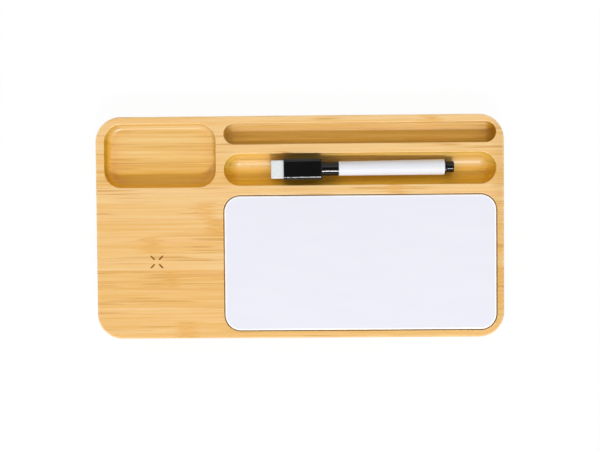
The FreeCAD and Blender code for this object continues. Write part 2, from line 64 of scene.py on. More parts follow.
# Lamps in front of the object: the angle to the right, the width and the height of each, and the share of
# full white that it gives to a level white surface
Lamp = namedtuple("Lamp", "name side width height share")
LAMPS = (
    Lamp("key", math.radians(7), 0.30, 0.20, 0.19),
    Lamp("accent", math.radians(20), 0.17, 0.17, 0.06),
    Lamp("softbox", math.radians(-2), 1.30, 0.40, 0.12),
)
LAMP_ELEVATION = math.radians(48)
LAMP_DISTANCE = 2.5

# Tent of light: its levels from the horizon at 0 to straight up at 1, where it has a dark opening
SKY_STRENGTH = 1.41
SKY_LEVELS = ((0.0, 0.71), (0.12, 0.71), (0.30, 0.24), (0.60, 0.74), (0.85, 0.80), (0.97, 0.03))

# Floor: a wide pale plane, and the share of plain white that the camera and reflections see in its place
FLOOR_SIZE = 60.0
FLOOR_COLOUR = (0.94, 0.94, 0.94)
FLOOR_GLOW = 0.955

# Bamboo blank, in millimetres: strips along X, glued side by side in three plies that are half a strip apart
BOARD_CORNER = 16.0
STRIP_WIDTH = 10.83
STRIP_EDGE = 5.2
PLY_HEIGHT = 6.001
TOP_PLY = 2
STRIP_STAGGER = 0.5
STRIP_SEED = 7.0
GLUE_SEED = 8.0
STRIP_NOISE_SPAN = 60.0
FIRST_TOP_STRIP = -8
TOP_STRIP_TONES = (0.5, 0.5, 0.55, 0.4, 0.3, 0.7, 0.5, 0.5, 0.7, 0.9, 0.5, 0.65, 0.9, 0.9, 0.9)
LOWER_STRIP_TONES = (0.3, 0.7)

# Culm nodes, in millimetres: the strip and the place along X of those on top, and the spacing in other plies
TOP_CULM_NODES = (
    (-7, -73.0), (-4, -82.0), (-2, -95.0), (-1, -52.0), (0, -59.0), (1, 62.0), (3, -10.0), (5, 84.0),
)
CULM_NODE_SPACING = 215.0
CULM_FEATHER = 34.0
LOWER_CULM_LIMITS = (9.0, 1.0)
LOWER_CULM_CHANCES = (0.25, 0.90)

# Figure of the bamboo: the sizes of its streaks in millimetres, their shares in the tone, and its colours
NOISE_MIDDLE = 0.5
FIBRE_SIZE = (60.0, 0.8, 0.8)
STREAK_SIZE = (110.0, 1.5, 1.5)
BROAD_SIZE = (120.0, 5.0, 5.0)
STRIP_SHARE = 0.36
BROAD_SHARE = 0.30
STREAK_SHARE = 0.54
FIBRE_SHARE = 0.46
TONE_LIMITS = (0.53, 1.05)
TONE_COLOURS = (
    (0.0, (0.72, 0.385, 0.09)), (0.30, (0.825, 0.485, 0.145)), (0.55, (0.885, 0.55, 0.20)),
    (0.80, (0.92, 0.615, 0.265)), (1.0, (0.95, 0.685, 0.35)),
)

# Marks over the figure: the size of their noise in millimetres, the limits between which they fade in, their
# strength and their colour. The limits are levels of the noise. For thin lines and wisps they are distances
# from its middle, and for culm patches they are millimetres from the node. Glue lines are broken by theirs.
Marks = namedtuple("Marks", "size limits strength colour")
ROSY_BANDS = Marks((70.0, 2.6, 2.6), (0.50, 0.70), 0.40, (0.92, 0.54, 0.25))
PALE_DASHES = Marks((26.0, 0.9, 0.9), (0.60, 0.70), 0.42, (0.97, 0.72, 0.33))
THIN_LINES = Marks((300.0, 2.6, 2.6), (0.045, 0.0), 0.85, (0.60, 0.32, 0.078))
CULM_PATCHES = Marks((16.0, 1.3, 1.3), (10.0, 1.0), 0.65, (0.84, 0.45, 0.115))
CULM_WISPS = Marks((12.0, 0.9, 0.9), (0.06, 0.0), 0.50, (0.60, 0.30, 0.07))
GLUE_LINES = Marks((45.0, 9.0, 9.0), (0.36, 0.60), 0.75, (0.62, 0.325, 0.08))
PORES = Marks((8.0, 0.22, 0.22), (0.60, 0.74), 0.30, (0.64, 0.36, 0.115))

# Gaps in the thin lines, and the reach of glue lines: in millimetres, or between plies as a share of a ply
LINE_GAP_SIZE = (45.0, 5.0, 5.0)
LINE_GAP_LIMITS = (0.46, 0.60)
GLUE_LINE_REACH = 0.38
GLUE_LINE_STRENGTHS = (0.25, 1.0)
PLY_LINE_SHARE = 0.03
PLY_LINE_STRENGTH = 0.5

# Surface of the wood, with the depth of its grain in millimetres
WOOD_SPECULAR = 0.3
WOOD_ROUGHNESS = (0.34, 0.52)
GRAIN_DEPTH = 0.03
GRAIN_STRENGTH = 0.6
PORE_DEPTH_SHARE = 0.5

# Lacquer: thick on the tray's back wall, and thin in the pen groove, along the board's front edge and
# where a recess doesn't face the front. Facings and places are along Y.
COAT_ROUGHNESS = 0.28
COAT_WEIGHT = 0.45
TRAY_COAT = 0.95
DULL_COAT = 0.04
DULL_FACING = (-0.22, -0.04)
DULL_FRONT = (-69.4, -70.2)

# Outside of the board: darker end grain, and tints at the right rim along X and at the front edge along Y. The
# front edge tint is painted shade.
EVEN_TINT = (1.0, 1.0, 1.0)
END_GRAIN_FACING = (0.40, 0.95)
END_GRAIN_TINT = (0.76, 0.70, 0.54)
RIGHT_RIM_TINTS = ((120.0, EVEN_TINT), (126.0, (0.91, 0.90, 0.86)))
FRONT_EDGE_SHADE_TINTS = ((-70.7, (0.90, 0.93, 0.98)), (-69.4, EVEN_TINT))

# Milled recesses, in millimetres: their depth, and how far below the top and inside the sides they start
RECESS_DEPTH = 10.0
RECESS_FLOOR_MARGIN = 1.0
RECESS_FROM_TOP = (0.2, 0.9)
RECESS_FROM_SIDE = (2.0, 3.0)
TRAY_RIGHT = -52.0
PEN_GROOVE_FRONT = 50.0

# Colour of the recesses: evener wood, with tints chosen to match the photograph. The tints are painted light
# and shade: amber where walls, ends and the front of the tray's floor lie in shade, paler where light falls,
# and darker towards the marker groove's right end. They follow the way the wood faces along X or Y, from -1
# to 1, or its place along X or Y in millimetres.
MILLED_EVENNESS = 0.2
MILLED_WOOD = (0.885, 0.55, 0.20)
TRAY_FLOOR_FACING = (0.90, 0.98)
# Painted shadow: amber across the front of the tray's floor, where the front wall's shadow falls, paler further
# back
TRAY_FLOOR_SHADOW_TINTS = (
    (34.0, (0.90, 0.79, 0.32)), (36.5, (0.84, 0.79, 0.55)), (40.0, (0.87, 0.85, 0.70)),
    (44.5, (0.85, 0.82, 0.66)), (46.5, (0.90, 0.93, 0.92)), (54.5, (0.87, 0.90, 0.86)),
    (58.0, (0.91, 0.99, 1.03)), (61.5, (0.91, 0.99, 1.02)),
)
# Painted light: the tray's floor lighter near its left and right walls, against the shade there
TRAY_LENGTH_LIGHT_TINTS = (
    (-122.0, (1.07, 1.01, 1.0)), (-112.0, EVEN_TINT), (-70.0, EVEN_TINT), (-57.0, (1.08, 1.07, 1.06)),
)
# Painted shade and highlight on the tray's walls: amber at the top of the back wall and on the walls facing the
# back, pale on the back cove where the lamps' highlight falls
TRAY_WALL_SHADE_AND_HIGHLIGHT_TINTS = (
    (-0.95, (0.84, 0.74, 0.39)), (-0.76, (0.81, 0.90, 0.92)), (-0.6, (0.91, 1.03, 1.20)),
    (-0.2, (0.90, 0.90, 0.74)), (0.0, (0.91, 0.83, 0.47)), (0.25, (0.92, 0.78, 0.21)),
    (0.9, (0.94, 0.79, 0.17)),
)
# Painted shade on the tray's left and right walls, deepest on the left wall
TRAY_SIDE_SHADE_TINTS = (
    (-1.0, (0.77, 0.76, 0.62)), (-0.4, EVEN_TINT), (0.25, EVEN_TINT),
    (0.6, (0.98, 0.95, 0.65)), (1.0, (0.76, 0.75, 0.12)),
)
# Painted light and shade in the marker groove: paler on the back wall that faces the lamps, amber on the front
# wall in shadow
MARKER_GROOVE_LIGHT_AND_SHADE_TINTS = (
    (-0.95, (0.92, 0.86, 0.45)), (-0.6, (0.90, 0.93, 0.84)), (-0.32, (0.83, 0.89, 0.88)),
    (-0.2, (0.90, 0.90, 0.74)), (0.0, (0.91, 0.83, 0.47)), (0.25, (0.92, 0.78, 0.21)),
    (0.9, (0.94, 0.79, 0.17)),
)
MARKER_GROOVE_LENGTH_TINTS = ((20.0, EVEN_TINT), (85.0, (0.92, 0.915, 0.86)))
# Painted shade on the marker groove's ends
MARKER_GROOVE_END_SHADE_TINTS = (
    (-0.9, (0.86, 0.74, 0.25)), (-0.5, (0.94, 0.88, 0.47)), (-0.1, EVEN_TINT),
    (0.1, EVEN_TINT), (0.5, (0.89, 0.86, 0.47)), (0.9, (0.75, 0.70, 0.25)),
)
# Painted shade in the pen groove: darker where the lamps' highlight and the edge of the front wall's shadow fall,
# darkest on the front wall
PEN_GROOVE_SHADE_TINTS = (
    (-0.9, (0.89, 0.93, 0.94)), (-0.6, (0.82, 0.82, 0.74)), (-0.35, (0.76, 0.69, 0.36)),
    (-0.1, (0.95, 0.93, 0.51)), (0.25, (0.92, 0.87, 0.47)), (0.45, (0.91, 0.87, 0.47)),
    (0.9, (0.58, 0.55, 0.28)),
)
# Painted shade on the pen groove's ends
PEN_GROOVE_END_SHADE_TINTS = (
    (-0.8, (0.53, 0.40, 0.06)), (-0.4, (0.74, 0.65, 0.27)), (-0.1, EVEN_TINT),
    (0.1, EVEN_TINT), (0.35, (0.84, 0.85, 0.75)), (0.8, (0.64, 0.58, 0.44)),
)

# Dry-erase panel, in millimetres: a hazy face and a rim painted whiter as a highlight
PANEL_CORNER = 10.0
PANEL_RIM_LIMITS = (1.3, 0.7)
# Painted highlight along the panel's rounded edge
PANEL_RIM_HIGHLIGHT_COLOUR = (0.93, 0.93, 0.94)
PANEL_HAZE_SIZE = (38.0, 9.0, 9.0)
PANEL_COLOURS = ((0.30, (0.757, 0.763, 0.832)), (0.70, (0.772, 0.777, 0.846)))
PANEL_SPECULAR = 0.5
PANEL_ROUGHNESS = (0.12, 0.24)
PANEL_PEEL_SIZE = (1.6, 1.6, 1.6)
PANEL_PEEL_DEPTH = 0.004

# Moulded and fired finishes: two tones, limits of the roughness, grain and depth in millimetres, and gloss
Moulding = namedtuple("Moulding", "dark light roughness grain depth specular")
MOULDED = {
    "cover_plastic": Moulding((0.020, 0.020, 0.021), (0.030, 0.030, 0.031), (0.45, 0.60), 0.35, 0.03, 0.5),
    "black_plastic": Moulding(
        (0.0046, 0.0046, 0.0050), (0.0062, 0.0062, 0.0067), (0.09, 0.13), 2.5, 0.0006, 0.4,
    ),
    "white_plastic": Moulding((0.715, 0.73, 0.775), (0.74, 0.755, 0.80), (0.34, 0.40), 3.0, 0.002, 0.18),
    "ferrite": Moulding((0.035, 0.035, 0.038), (0.06, 0.06, 0.065), (0.55, 0.75), 0.25, 0.02, 0.4),
    "capacitor": Moulding((0.36, 0.25, 0.14), (0.48, 0.36, 0.22), (0.40, 0.55), 0.3, 0.01, 0.4),
    "rubber": Moulding((0.018, 0.018, 0.018), (0.032, 0.032, 0.031), (0.75, 0.90), 0.4, 0.03, 0.25),
}
FLOW_SIZE = (14.0, 6.0, 6.0)
FLOW_TONES = (0.3, 0.7)

# Metal finishes: two tones, limits of the roughness, and the size of the grain in millimetres
Plating = namedtuple("Plating", "dark light roughness grain")
PLATED = {
    "steel": Plating((0.52, 0.52, 0.54), (0.68, 0.68, 0.70), (0.25, 0.42), (1.2, 0.25, 0.25)),
    "copper": Plating((0.62, 0.26, 0.11), (0.78, 0.38, 0.19), (0.20, 0.35), (2.0, 2.0, 0.2)),
    "gold": Plating((0.80, 0.58, 0.24), (0.90, 0.68, 0.32), (0.18, 0.30), (1.0, 0.2, 0.2)),
}
PLATED_TONES = (0.3, 0.7)
PLATED_DEPTH = 0.006

# Fibrous finishes: two tones, the size of the strands and the depth between them in millimetres, and sheen
Matting = namedtuple("Matting", "dark light strand depth sheen")
FIBROUS = {
    "tape": Matting((0.72, 0.72, 0.70), (0.84, 0.84, 0.82), (3.0, 0.3, 0.3), 0.02, 0.1),
    "felt": Matting((0.635, 0.665, 0.67), (0.735, 0.765, 0.775), (0.5, 0.12, 0.12), 0.10, 0.25),
    "nib_fibre": Matting((0.010, 0.010, 0.011), (0.03, 0.03, 0.032), (1.5, 0.15, 0.15), 0.03, 0.0),
    "wick_fibre": Matting((0.03, 0.03, 0.032), (0.08, 0.08, 0.085), (4.0, 0.2, 0.2), 0.04, 0.0),
}
CLOUD_SIZE = (2.2, 2.2, 2.2)
STRAND_SHARE = 0.6
CLOUD_SHARE = 0.4
FIBROUS_TONES = (0.35, 0.65)
FIBROUS_ROUGHNESS = (0.85, 1.0)
FIBROUS_SPECULAR = 0.15
SHEEN_ROUGHNESS = 0.5

# Circuit board: the solder mask's two greens, and its tracks
MASK_OVER_TRACK = (0.03, 0.20, 0.07)
MASK_BETWEEN = (0.012, 0.13, 0.045)
MASK_SPECULAR = 0.5
MASK_ROUGHNESS = (0.25, 0.40)
MASK_GRAIN_SIZE = (3.0, 3.0, 3.0)
TRACK_OFFSET = 0.4
TRACK_SCALE = 0.35
TRACK_WIDTH = 0.05
TRACK_DEPTH = 0.03

# Charging mark: four short burnt lines on the diagonals
MARK_PLACE = Vector((-0.0915, -0.0217))
MARK_INNER = 1.9 * MM
MARK_OUTER = 5.6 * MM
MARK_WIDTH = 1.0 * MM
MARK_DEPTH = 0.06 * MM
MARK_PROUD = 0.01 * MM
MARK_SEGMENTS = 8
CHAR_SIZE = (6.0, 0.4, 0.4)
CHAR_COLOURS = ((0.3, (0.19, 0.074, 0.006)), (0.7, (0.28, 0.12, 0.012)))
CHAR_SPECULAR = 0.2
CHAR_ROUGHNESS = (0.6, 0.8)
CHAR_DEPTH = 0.04

# Felt eraser: a block with soft edges and a lumpy skin, which is sunk a little so that its lumps stay inside
FELT_CELL = 0.35 * MM
FELT_EDGE = 0.9 * MM
FELT_LUMP = 1.3 * MM
FELT_FINE_LUMP = 0.4 * FELT_LUMP
FELT_FINE_SHARE = 0.5
FELT_LUMP_HEIGHT = 0.06 * MM
FELT_SUNK = 0.09 * MM

# Loose fibres on the felt: the faces they stand on, how they lean and curl, and their taper to the tip
FUZZ_SEED = 11
FUZZ_COUNT = 900
FUZZ_FACES = ("end", "aside", "aside", "up", "up")
FUZZ_LENGTH = 0.55 * MM
FUZZ_SHORTEST = 0.5
FUZZ_RADIUS = 0.014 * MM
FUZZ_ROOT = 0.15 * MM
FUZZ_UPRIGHT = 0.35
FUZZ_CURL = 0.35
FUZZ_TAPER = ((0.0, 1.0), (0.5, 0.9), (1.0, 0.4))
FUZZ_SIDES = 3
FUZZ_INWARD = 0.2

# Contacts on the tongue of the USB socket
TONGUE_THICKNESS = 0.7 * MM
CONTACT_COUNT = 12
CONTACT_PITCH = 0.5 * MM
CONTACT_WIDTH = 0.26 * MM
CONTACT_LENGTH = 3.6 * MM
CONTACT_SETBACK = 0.5 * MM
CONTACT_PROUD = 0.03 * MM

# New pieces: corners that turn by more than the angle stay sharp, and runs below the tolerance count as none
SHARP_ANGLE = math.radians(50)
EDGE_TOLERANCE = 1e-6


# Node trees

class Nodes:
    """Short ways to add nodes to a tree. A value is a node's output, a number or a colour."""

    def __init__(self, tree):
        self.tree = tree

    def node(self, kind, **settings):
        made = self.tree.nodes.new("ShaderNode" + kind)
        for setting, value in settings.items():
            setattr(made, setting, value)
        return made

    def feed(self, socket, value):
        """Links an output to a socket, or sets the socket to a plain value."""
        if isinstance(value, bpy.types.NodeSocket):
            self.tree.links.new(value, socket)
        else:
            socket.default_value = value

    def feed_all(self, made, *values):
        """Feeds a node's first sockets in order, and gives its first output."""
        for socket, value in zip(made.inputs, values):
            self.feed(socket, value)
        return made.outputs[0]

    def math(self, operation, *values):
        return self.feed_all(self.node("Math", operation=operation), *values)

    def plus(self, first, *others):
        total = first
        for value in others:
            total = self.math("ADD", total, value)
        return total

    def minus(self, first, second):
        return self.math("SUBTRACT", first, second)

    def times(self, first, *others):
        product = first
        for value in others:
            product = self.math("MULTIPLY", product, value)
        return product

    def over(self, first, second):
        return self.math("DIVIDE", first, second)

    def size_of(self, value):
        return self.math("ABSOLUTE", value)

    def larger(self, first, second):
        return self.math("MAXIMUM", first, second)

    def same(self, number, wanted):
        """1 where a whole number is the wanted one, and 0 elsewhere."""
        return self.math("COMPARE", number, wanted, 0.5)

    def from_whole(self, value):
        """Distance from the nearest whole number."""
        return self.size_of(self.minus(value, self.math("ROUND", value)))

    def split(self, vector):
        made = self.node("SeparateXYZ")
        self.feed(made.inputs[0], vector)
        return made.outputs

    def step(self, value, start, end, low=0.0, high=1.0):
        """Smooth step from low at start to high at end."""
        made = self.node("MapRange", interpolation_type="SMOOTHSTEP")
        return self.feed_all(made, value, start, end, low, high)

    def ramp(self, value, stops, interpolation="LINEAR"):
        """Colour between stops that are placed from 0 to 1."""
        made = self.node("ValToRGB")
        made.color_ramp.interpolation = interpolation
        elements = made.color_ramp.elements
        while len(elements) < len(stops):
            elements.new(0.5)
        for element, (place, colour) in zip(elements, stops):
            element.position = place
            element.color = (*colour, 1.0)
        return self.feed_all(made, value)

    def tint(self, value, stops):
        """Colour between stops that are placed in the value's own units."""
        low, high = stops[0][0], stops[-1][0]
        share = self.over(self.minus(value, low), high - low)
        return self.ramp(share, [((place - low) / (high - low), colour) for place, colour in stops])

    def levels(self, number, values):
        """Picks a level from a list by a whole number that counts from 0."""
        count = len(values)
        stops = [(i / count, (level, level, level)) for i, level in enumerate(values)]
        return self.ramp(self.over(self.plus(number, 0.5), count), stops, "CONSTANT")

    def mix(self, share, first, second, blend="MIX"):
        made = self.node("Mix", data_type="RGBA", blend_type=blend)
        wanted = {"Factor_Float": share, "A_Color": first, "B_Color": second}
        for socket in made.inputs:
            if socket.identifier in wanted:
                value = wanted[socket.identifier]
                self.feed(socket, (*value, 1.0) if isinstance(value, tuple) else value)
        return next(socket for socket in made.outputs if socket.identifier == "Result_Color")

    def multiplied(self, first, *others):
        """Product of colours."""
        product = first
        for colour in others:
            product = self.mix(1.0, product, colour, "MULTIPLY")
        return product


class Surface(Nodes):
    """A material's node tree around its Principled shader, with fixed values for some sockets."""

    def __init__(self, name, values):
        self.material = bpy.data.materials.new(name)
        self.material.use_nodes = True
        super().__init__(self.material.node_tree)
        self.shader = self.tree.nodes["Principled BSDF"]
        for socket, value in values.items():
            self.shader.inputs[socket].default_value = value
        scaled = self.node("VectorMath", operation="SCALE")
        self.feed(scaled.inputs[0], self.node("TexCoord").outputs["Object"])
        self.feed(scaled.inputs["Scale"], 1 / MM)
        self.place = scaled.outputs[0]

    def noise(self, size, detail=2.0, w=0.0):
        """Noise whose lumps have a size in millimetres along each axis."""
        stretch = self.node("VectorMath", operation="DIVIDE")
        made = self.node("TexNoise", noise_dimensions="4D")
        self.feed(made.inputs["Vector"], self.feed_all(stretch, self.place, size))
        self.feed(made.inputs["Scale"], 1.0)
        self.feed(made.inputs["Detail"], detail)
        self.feed(made.inputs["W"], w)
        return made.outputs["Fac"]

    def chance(self, x, y, z):
        """Three random numbers for a whole-number place."""
        made = self.node("TexWhiteNoise", noise_dimensions="3D")
        self.feed(made.inputs["Vector"], self.feed_all(self.node("CombineXYZ"), x, y, z))
        return self.split(made.outputs["Color"])

    def corner_reach(self, low, high, corner):
        """Distance out of a plate's straight core: at the plate's edge it is the radius of the corners."""
        x, y, _ = self.split(self.place)
        middle = (low + high) / 2
        core = (high - low) / 2 - Vector((corner, corner, 0.0))
        squares = []
        for place, centre, half in ((x, middle.x, core.x), (y, middle.y, core.y)):
            beyond = self.minus(self.size_of(self.minus(place, centre)), half)
            squares.append(self.math("POWER", self.larger(beyond, 0.0), 2.0))
        return self.math("SQRT", self.plus(*squares))

    def colour(self, value):
        self.feed(self.shader.inputs["Base Color"], value)

    def roughness(self, value, limits):
        """Roughness that follows a 0 to 1 value between two limits."""
        self.feed(self.shader.inputs["Roughness"], self.step(value, 0.0, 1.0, *limits))

    def bump(self, height, depth, strength=1.0):
        """Bump with a depth in millimetres."""
        made = self.node("Bump")
        self.feed(made.inputs["Strength"], strength)
        self.feed(made.inputs["Distance"], depth * MM)
        self.feed(made.inputs["Height"], height)
        self.feed(self.shader.inputs["Normal"], made.outputs[0])


# Finishes

class Bamboo(Surface):
    """Satin lacquered bamboo: toned strips, fibres, glue lines, culm nodes, and painted light and shade in the
    recesses.
    """

    def __init__(self):
        super().__init__("bamboo", {"Specular IOR Level": WOOD_SPECULAR, "Coat Roughness": COAT_ROUGHNESS})
        self.low, self.high = (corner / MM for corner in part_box("bamboo_board"))
        self.x, self.y, self.z = self.split(self.place)
        self.facing_x, self.facing_y, self.facing_z = self.split(self.node("TexCoord").outputs["Normal"])
        self.find_strips()
        self.find_recesses()
        fibre = self.noise(FIBRE_SIZE, w=self.strip_w)
        pores = self.spots(PORES)
        culm = self.culm_nodes()
        colour = self.figure(fibre)
        colour = self.marked(colour, culm, CULM_PATCHES)
        colour = self.marked(colour, self.times(self.contours(CULM_WISPS), culm), CULM_WISPS)
        colour = self.marked(colour, self.glue_lines(), GLUE_LINES)
        colour = self.marked(colour, pores, PORES)
        self.colour(self.tinted_with_painted_shade(colour))
        self.feed(self.shader.inputs["Coat Weight"], self.lacquer())
        self.roughness(fibre, WOOD_ROUGHNESS)
        self.bump(self.minus(fibre, self.times(pores, PORE_DEPTH_SHARE)), GRAIN_DEPTH, GRAIN_STRENGTH)

    def find_strips(self):
        """Finds the ply and the strip of each place, and what varies from strip to strip."""
        self.ply_place = self.over(self.minus(self.z, self.low.z), PLY_HEIGHT)
        self.ply = self.math("FLOOR", self.ply_place)
        self.on_top = self.same(self.ply, TOP_PLY)
        stagger = self.times(self.minus(self.ply, TOP_PLY), STRIP_STAGGER)
        self.strip_place = self.plus(self.over(self.minus(self.y, STRIP_EDGE), STRIP_WIDTH), stagger)
        self.strip = self.math("FLOOR", self.strip_place)
        tone, self.shift, self.node_strength = self.chance(self.strip, self.ply, STRIP_SEED)
        lower_tone = self.step(tone, 0.0, 1.0, *LOWER_STRIP_TONES)
        top_tone = self.levels(self.minus(self.strip, FIRST_TOP_STRIP), TOP_STRIP_TONES)
        self.tone = self.mix(self.on_top, lower_tone, top_tone)
        self.strip_w = self.times(self.shift, STRIP_NOISE_SPAN)

    def find_recesses(self):
        """Finds the recesses, below the top and away from the sides, and which is tray or pen groove."""
        start, end = (BOARD_CORNER - distance for distance in RECESS_FROM_SIDE)
        inside = self.step(self.corner_reach(self.low, self.high, BOARD_CORNER), start, end)
        start, end = (self.high.z - distance for distance in RECESS_FROM_TOP)
        below_top = self.step(self.z, start, end)
        lowest = self.high.z - RECESS_DEPTH - RECESS_FLOOR_MARGIN
        self.milled = self.times(inside, below_top, self.math("GREATER_THAN", self.z, lowest))
        self.in_tray = self.math("LESS_THAN", self.x, TRAY_RIGHT)
        in_groove = self.math("GREATER_THAN", self.x, TRAY_RIGHT)
        self.in_pen_groove = self.times(in_groove, self.math("GREATER_THAN", self.y, PEN_GROOVE_FRONT))

    def spots(self, marks):
        """Share of marks that lie where their noise is high."""
        return self.step(self.noise(marks.size, detail=1.0, w=self.strip_w), *marks.limits)

    def contours(self, marks):
        """Share of thin marks that lie where their noise is near its middle."""
        level = self.noise(marks.size, detail=1.0, w=self.strip_w)
        return self.step(self.size_of(self.minus(level, NOISE_MIDDLE)), *marks.limits)

    def marked(self, colour, share, marks):
        """Colour with marks laid over it."""
        return self.mix(self.times(share, marks.strength), colour, marks.colour)

    def figure(self, fibre):
        """Colour of the fibres: light and dark streaks, rosy bands, pale dashes and thin dark lines."""
        tone = self.plus(
            self.times(self.tone, STRIP_SHARE),
            self.times(self.noise(BROAD_SIZE, detail=1.0, w=self.strip_w), BROAD_SHARE),
            self.times(self.noise(STREAK_SIZE, detail=3.0, w=self.strip_w), STREAK_SHARE),
            self.times(fibre, FIBRE_SHARE),
        )
        colour = self.ramp(self.step(tone, *TONE_LIMITS), TONE_COLOURS)
        colour = self.marked(colour, self.spots(ROSY_BANDS), ROSY_BANDS)
        colour = self.marked(colour, self.spots(PALE_DASHES), PALE_DASHES)
        sparse = self.step(self.noise(LINE_GAP_SIZE, detail=1.0, w=self.strip_w), *LINE_GAP_LIMITS)
        return self.marked(colour, self.times(self.contours(THIN_LINES), sparse), THIN_LINES)

    def culm_nodes(self):
        """Share of the feathered patches where the culm's nodes were."""
        feather = self.noise(CULM_PATCHES.size, w=self.strip_w)
        feather = self.times(self.minus(feather, NOISE_MIDDLE), CULM_FEATHER)
        half = CULM_NODE_SPACING / 2
        away = self.math("WRAP", self.plus(self.x, self.times(self.shift, CULM_NODE_SPACING)), half, -half)
        patch = self.step(self.size_of(self.plus(away, feather)), *LOWER_CULM_LIMITS)
        patch = self.times(patch, self.step(self.node_strength, *LOWER_CULM_CHANCES))
        share = self.times(patch, self.minus(1.0, self.on_top))
        for number, node_x in TOP_CULM_NODES:
            beside = self.size_of(self.plus(self.minus(self.x, node_x), feather))
            here = self.times(self.same(self.strip, number), self.on_top)
            share = self.larger(share, self.times(self.step(beside, *CULM_PATCHES.limits), here))
        return share

    def glue_lines(self):
        """Share of the thin dark lines between strips and between plies."""
        chance = self.chance(self.math("ROUND", self.strip_place), self.ply, GLUE_SEED)[0]
        strength = self.step(chance, 0.0, 1.0, *GLUE_LINE_STRENGTHS)
        broken = self.step(self.noise(GLUE_LINES.size, detail=1.0), *GLUE_LINES.limits)
        between_strips = self.step(self.from_whole(self.strip_place), GLUE_LINE_REACH / STRIP_WIDTH, 0.0)
        between_plies = self.step(self.from_whole(self.ply_place), PLY_LINE_SHARE, 0.0)
        return self.larger(
            self.times(between_strips, strength, broken), self.times(between_plies, PLY_LINE_STRENGTH),
        )

    def tinted_with_painted_shade(self, colour):
        """Wood with darker end grain and edges outside, where the front edge's darkening is painted shade, and
        with painted light and shade in each recess.
        """
        end_grain = self.step(self.size_of(self.facing_x), *END_GRAIN_FACING)
        outside = self.multiplied(
            self.mix(end_grain, colour, END_GRAIN_TINT, "MULTIPLY"),
            self.tint(self.x, RIGHT_RIM_TINTS),
            self.tint(self.y, FRONT_EDGE_SHADE_TINTS),
        )
        # Tray: a painted shadow across the front of its floor, painted light near its ends, and painted shade and
        # a painted highlight on its walls
        tray_floor = self.multiplied(
            self.tint(self.y, TRAY_FLOOR_SHADOW_TINTS), self.tint(self.x, TRAY_LENGTH_LIGHT_TINTS),
        )
        on_floor = self.step(self.facing_z, *TRAY_FLOOR_FACING)
        tray = self.multiplied(
            self.mix(on_floor, self.tint(self.facing_y, TRAY_WALL_SHADE_AND_HIGHLIGHT_TINTS), tray_floor),
            self.tint(self.facing_x, TRAY_SIDE_SHADE_TINTS),
        )
        # Marker groove: painted light on its back wall, painted shade on its front wall and ends
        marker_groove = self.multiplied(
            self.tint(self.facing_y, MARKER_GROOVE_LIGHT_AND_SHADE_TINTS),
            self.tint(self.facing_x, MARKER_GROOVE_END_SHADE_TINTS),
            self.tint(self.x, MARKER_GROOVE_LENGTH_TINTS),
        )
        # Pen groove: painted shade over the lamps' highlight, on its front wall and on its ends
        pen_groove = self.multiplied(
            self.tint(self.facing_y, PEN_GROOVE_SHADE_TINTS), self.tint(self.facing_x, PEN_GROOVE_END_SHADE_TINTS),
        )
        recess = self.mix(self.in_tray, self.mix(self.in_pen_groove, marker_groove, pen_groove), tray)
        even = self.mix(MILLED_EVENNESS, colour, MILLED_WOOD)
        return self.mix(self.milled, outside, self.multiplied(even, recess))

    def lacquer(self):
        """Weight of the lacquer."""
        away = self.larger(self.in_pen_groove, self.step(self.facing_y, *DULL_FACING))
        dull = self.larger(self.times(self.milled, away), self.step(self.y, *DULL_FRONT))
        full = self.step(self.times(self.milled, self.in_tray), 0.0, 1.0, COAT_WEIGHT, TRAY_COAT)
        return self.step(dull, 0.0, 1.0, full, DULL_COAT)


def whiteboard():
    """Gloss laminate, whiter along the rounded edge as a painted highlight, with faint wiping haze."""
    panel = Surface("whiteboard", {"Specular IOR Level": PANEL_SPECULAR})
    low, high = (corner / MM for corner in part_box("whiteboard_panel"))
    start, end = (PANEL_CORNER - distance for distance in PANEL_RIM_LIMITS)
    rim = panel.step(panel.corner_reach(low, high, PANEL_CORNER), start, end)
    haze = panel.noise(PANEL_HAZE_SIZE, detail=3.0)
    panel.colour(panel.mix(rim, panel.ramp(haze, PANEL_COLOURS), PANEL_RIM_HIGHLIGHT_COLOUR))
    panel.roughness(haze, PANEL_ROUGHNESS)
    panel.bump(panel.noise(PANEL_PEEL_SIZE, detail=1.0), PANEL_PEEL_DEPTH)
    return panel.material


def two_tones(places, look):
    """Colour stops from a look's dark tone to its light one."""
    return tuple(zip(places, (look.dark, look.light)))


def moulded(name, look):
    """Moulded plastic, rubber or fired ceramic with slight flow marks and a fine skin."""
    skin = Surface(name, {"Specular IOR Level": look.specular})
    flow = skin.noise(FLOW_SIZE)
    skin.colour(skin.ramp(flow, two_tones(FLOW_TONES, look)))
    skin.roughness(flow, look.roughness)
    skin.bump(skin.noise((look.grain, look.grain, look.grain)), look.depth)
    return skin.material


def plated(name, look):
    """Metal with a drawn, slightly uneven surface."""
    metal = Surface(name, {"Metallic": 1.0})
    grain = metal.noise(look.grain, detail=3.0)
    metal.colour(metal.ramp(grain, two_tones(PLATED_TONES, look)))
    metal.roughness(grain, look.roughness)
    metal.bump(grain, PLATED_DEPTH)
    return metal.material


def fibrous(name, look):
    """Matted fibres: felt, wick and tissue."""
    matting = Surface(name, {
        "Sheen Weight": look.sheen,
        "Sheen Roughness": SHEEN_ROUGHNESS,
        "Specular IOR Level": FIBROUS_SPECULAR,
    })
    strand = matting.noise(look.strand, detail=4.0)
    cloud = matting.noise(CLOUD_SIZE)
    both = matting.plus(matting.times(strand, STRAND_SHARE), matting.times(cloud, CLOUD_SHARE))
    matting.colour(matting.ramp(both, two_tones(FIBROUS_TONES, look)))
    matting.roughness(strand, FIBROUS_ROUGHNESS)
    matting.bump(strand, look.depth)
    return matting.material


